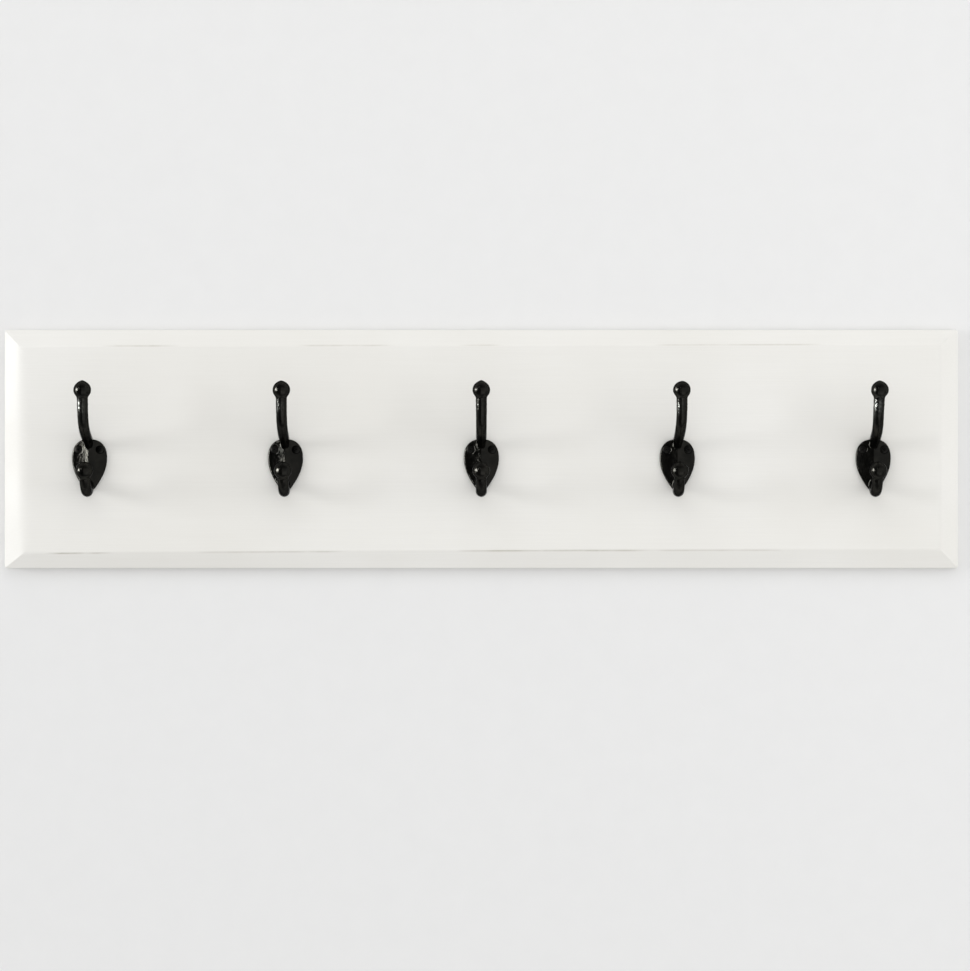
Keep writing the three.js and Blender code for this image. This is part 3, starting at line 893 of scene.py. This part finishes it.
def screw_piece(name, screw, rim_y, out, turn, material):
    """A cross-recess wood screw along Y. `out` is +1 or -1, the way its head faces."""
    rings = []
    for radius, y, thread in screw_profile(screw):
        ring = []
        for k in range(SCREW_SIDES):
            angle = 2 * math.pi * k / SCREW_SIDES
            off_crest = abs((y / screw["pitch"] - k / SCREW_SIDES) % 1 - 0.5)
            flank = THREAD_FLANK * off_crest if off_crest > THREAD_CREST else 0.0
            cut_in = thread * min(1.0, flank)
            reach = max(0.01, radius - cut_in)
            ring.append((reach * math.cos(angle), y, reach * math.sin(angle)))
        rings.append(ring)
    x, z = node_middle(name)
    piece = mesh_piece(name + "_fine", *lofted(rings), material)
    cut(piece, [recess_cutter(screw)], SHARP_ANGLE["screw"])
    piece.data.transform(Matrix.Translation(Vector((x, rim_y, z)) * MM)
                         @ Matrix.Rotation(math.radians(turn), 4, "Y")
                         @ Matrix.Rotation(0 if out > 0 else math.pi, 4, "X"))
    return piece


def recess_cutter(screw):
    """A cross that narrows as it goes down into a screw's head."""
    span, width = screw["recess_span"] / 2, screw["recess_width"] / 2
    quarter = [(span, -width), (span, width), (width * 1.25, width * 1.25)]
    outline = []
    for k in range(4):
        c, s = round(math.cos(k * math.pi / 2)), round(math.sin(k * math.pi / 2))
        outline += [(c * x - s * z, s * x + c * z) for x, z in quarter]
    top, bottom = screw["dome"] + CUT_OVER, -screw["recess_depth"]
    return prism(outline, top, bottom, scale_at_y1=RECESS_TAPER)


def screw_names(prefix):
    return sorted(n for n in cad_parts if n.startswith(prefix) and "_screw_" in n)


def node_middle(name):
    """The middle of a CAD node along X and Z, mm."""
    low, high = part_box(name)
    return (low.x + high.x) / 2 / MM, (low.z + high.z) / 2 / MM


# ---------- hanger plates ----------
def keyhole_outline():
    """The round entry with the slot that rises from it."""
    entry, slot = KEYHOLE["entry"], KEYHOLE["slot"]
    lean = math.degrees(math.asin(slot / entry))
    low = arc((0, KEYHOLE["entry_z"]), entry, 90 + lean, 450 - lean, 40)
    top = arc((0, KEYHOLE["entry_z"] + KEYHOLE["rise"]), slot, 0, 180)
    return low + top


def hanger_piece(side, material):
    name = f"hanger_plate_{side}"
    x, z = node_middle(name)
    front_y = HANGER_BACK_Y - HANGER["thickness"]
    rows = [(inset, HANGER_BACK_Y - down) for inset, down in HANGER_EDGE]
    rows += [(inset, front_y + down) for inset, down in reversed(HANGER_EDGE)]
    rings = []
    for inset, y in rows:
        width, height = HANGER["width"] - 2 * inset, HANGER["height"] - 2 * inset
        outline = rounded_rectangle(width, height, HANGER["corner"] - inset)
        rings.append([(x + out_x, y, z + out_z) for out_x, out_z in outline])
    plate = mesh_piece(name + "_fine", *lofted(rings), material)

    back, front = HANGER_BACK_Y + CUT_OVER, front_y - CUT_OVER
    head, shank = HANGER_SCREW["head"] + GAP, HANGER_SCREW["shank"] + GAP
    depth = HANGER_SCREW["head_depth"]
    spread = (head - shank) / depth * CUT_OVER
    hole = ((head + spread, back), (shank, HANGER_BACK_Y - depth), (shank, front))
    cutters = [prism(keyhole_outline(), back, front, (x, z))]
    cutters += [turned(hole, (x, z + level)) for level in HANGER_SCREW_LEVELS]
    return cut(plate, cutters, SHARP_ANGLE["hanger"])


# ---------- stage ----------
def add_camera():
    data = bpy.data.cameras.new("camera")
    data.sensor_width = SENSOR_WIDTH
    data.lens = SENSOR_WIDTH * CAMERA_DISTANCE / VIEW_WIDTH
    camera = bpy.data.objects.new("camera", data)
    camera.location = (CAMERA_X, BOARD_LOW.y - CAMERA_DISTANCE, CAMERA_Z)
    camera.rotation_euler = (math.pi / 2, 0, 0)
    bpy.context.scene.collection.objects.link(camera)
    bpy.context.scene.camera = camera


def direction(azimuth, elevation):
    """A direction from the rack into the room: degrees to the right of straight out, and up."""
    a, e = math.radians(azimuth), math.radians(elevation)
    return Vector((math.sin(a) * math.cos(e), -math.cos(a) * math.cos(e), math.sin(e)))


def soft_light(name, azimuth, elevation, distance, size, power, glossy=True, diffuse=True):
    """A panel light that faces the rack: its direction in degrees, distance and size in metres,
    power in watts. It may be kept out of reflections, or be seen in nothing but reflections."""
    data = bpy.data.lights.new(name, "AREA")
    data.shape = "RECTANGLE"
    data.size, data.size_y = size
    data.energy = power
    light = bpy.data.objects.new(name, data)
    towards = direction(azimuth, elevation)
    light.location = towards * distance
    light.rotation_mode = "QUATERNION"
    light.rotation_quaternion = towards.to_track_quat("Z", "Y")
    light.visible_camera = False
    light.visible_glossy = glossy
    light.visible_diffuse = diffuse
    bpy.context.scene.collection.objects.link(light)


def stage_plane(name, points, faces, material):
    mesh = bpy.data.meshes.new(name)
    mesh.from_pydata(points, [], faces)
    mesh.materials.append(material)
    plane = bpy.data.objects.new(name, mesh)
    bpy.context.scene.collection.objects.link(plane)
    return plane


def add_wall():
    """A wall with an opening that the board covers, so that its back can be seen and lit."""
    half = WALL_SIZE / 2
    open_x, open_z = BOARD_HIGH.x - WALL_OVERLAP, BOARD_HIGH.z - WALL_OVERLAP
    points = []
    for x, z, low in ((half, half, FLOOR_Z), (open_x, open_z, -open_z)):
        points += [(-x, WALL_Y, low), (x, WALL_Y, low), (x, WALL_Y, z), (-x, WALL_Y, z)]
    faces = [(k, (k + 1) % 4, 4 + (k + 1) % 4, 4 + k) for k in range(4)]
    stage_plane("wall", points, faces, one_sided_material("wall_white", WALL_WHITE, 0.9))


def add_floor():
    half = FLOOR_SIZE / 2
    corners = ((-half, -half), (half, -half), (half, half), (-half, half))
    points = [(x, y, FLOOR_Z) for x, y in corners]
    pale = one_sided_material("floor_pale", FLOOR_PALE, 0.6)
    floor = stage_plane("floor", points, [(0, 1, 2, 3)], pale)
    floor.visible_glossy = False
    floor.visible_diffuse = False


def add_flag():
    """A black panel, seen only in reflections, that keeps the hooks' left sides dark."""
    n = Nodes("flag_black")
    material = n.surface(Base_Color=FLAG_BLACK, Roughness=1.0)
    left, right, rise = FLAG["left"], FLAG["right"], FLAG["rise"]
    corners = ((right, -rise), (left, -rise), (left, rise), (right, rise))
    points = [direction(a, e) * FLAG["distance"] for a, e in corners]
    flag = stage_plane("flag", points, [(0, 1, 2, 3)], material)
    flag.visible_camera = False
    flag.visible_shadow = False
    flag.visible_diffuse = False


def add_world():
    """An even pale surrounding, a little brighter to the rack's sides. Reflections see it darker in
    front and below, as they would in a room."""
    world = bpy.data.worlds.new("studio")
    world.use_nodes = True
    tree = world.node_tree
    place = tree.nodes.new("ShaderNodeTexCoord")
    split = tree.nodes.new("ShaderNodeSeparateXYZ")
    tree.links.new(place.outputs["Generated"], split.inputs[0])
    sides = graded(tree, split.outputs["Y"], LIT_ALONG_Y)
    along = graded(tree, split.outputs["Y"], REFLECTED_ALONG_Y)
    up = graded(tree, split.outputs["Z"], REFLECTED_ALONG_Z)
    reflected = tree.nodes.new("ShaderNodeMath")
    reflected.operation = "MULTIPLY"
    tree.links.new(along, reflected.inputs[0])
    tree.links.new(up, reflected.inputs[1])
    seen = tree.nodes.new("ShaderNodeMix")
    tree.links.new(tree.nodes.new("ShaderNodeLightPath").outputs["Is Glossy Ray"], seen.inputs[0])
    tree.links.new(sides, seen.inputs[2])
    tree.links.new(reflected.outputs[0], seen.inputs[3])
    tree.links.new(seen.outputs[0], tree.nodes["Background"].inputs["Strength"])
    tree.nodes["Background"].inputs["Color"].default_value = (1, 1, 1, 1)
    bpy.context.scene.world = world


def graded(tree, value, stops):
    """A brightness that follows a value from -1 to 1 through a list of stops."""
    share = tree.nodes.new("ShaderNodeMapRange")
    share.inputs["From Min"].default_value = -1
    tree.links.new(value, share.inputs["Value"])
    ramp = tree.nodes.new("ShaderNodeValToRGB")
    elements = ramp.color_ramp.elements
    while len(elements) < len(stops):
        elements.new(0.5)
    for element, (at, level) in zip(elements, stops):
        element.position = (at + 1) / 2
        element.color = (level, level, level, 1)
    tree.links.new(share.outputs["Result"], ramp.inputs["Fac"])
    return ramp.outputs["Color"]


def add_lights():
    soft_light("window", -71, 5, 5.0, (1.4, 1.4), 80, glossy=False)
    soft_light("window_glint", -72.5, 4, 5.0, (2.1, 2.0), 475, diffuse=False)
    soft_light("reflector", 23, 2, 2.9, (4.6, 3.0), 19)
    soft_light("low_reflector", 25, -40, 1.8, (2.2, 1.2), 6, diffuse=False)
    soft_light("right_side", 62, 0, 2.4, (1.6, 1.6), 10.5, glossy=False)
    soft_light("ceiling", -6, 46, 2.6, (2.2, 1.2), 9, glossy=False)


# ---------- assembly ----------
def add_piece(piece, node):
    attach(piece, "root")
    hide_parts(node)


def add_rack():
    paint, iron = paint_material(), iron_material()
    black, zinc, bright = (steel_material(name) for name in STEELS)

    board = cut(board_piece(paint), board_cutters(), SHARP_ANGLE["board"])
    mark_bare_wood(board)
    add_piece(board, "back_board")
    for number in CASTINGS:
        add_piece(hook_piece(number, iron), f"hook_{number}")
    for turn, name in enumerate(screw_names("hook_")):
        screw = screw_piece(name, HOOK_SCREW, FACE_Y - HOOK_SCREW_HEAD_OUT, -1, 37 * turn, black)
        add_piece(screw, name)
    for side in ("left", "right"):
        add_piece(hanger_piece(side, zinc), f"hanger_plate_{side}")
    for turn, name in enumerate(screw_names("hanger_plate_")):
        screw = screw_piece(name, HANGER_SCREW, HANGER_BACK_Y, 1, 53 * turn, bright)
        add_piece(screw, name)


bpy.context.scene.view_settings.view_transform = "Standard"
add_camera()
add_world()
add_lights()
add_flag()
add_wall()
add_floor()
add_rack()
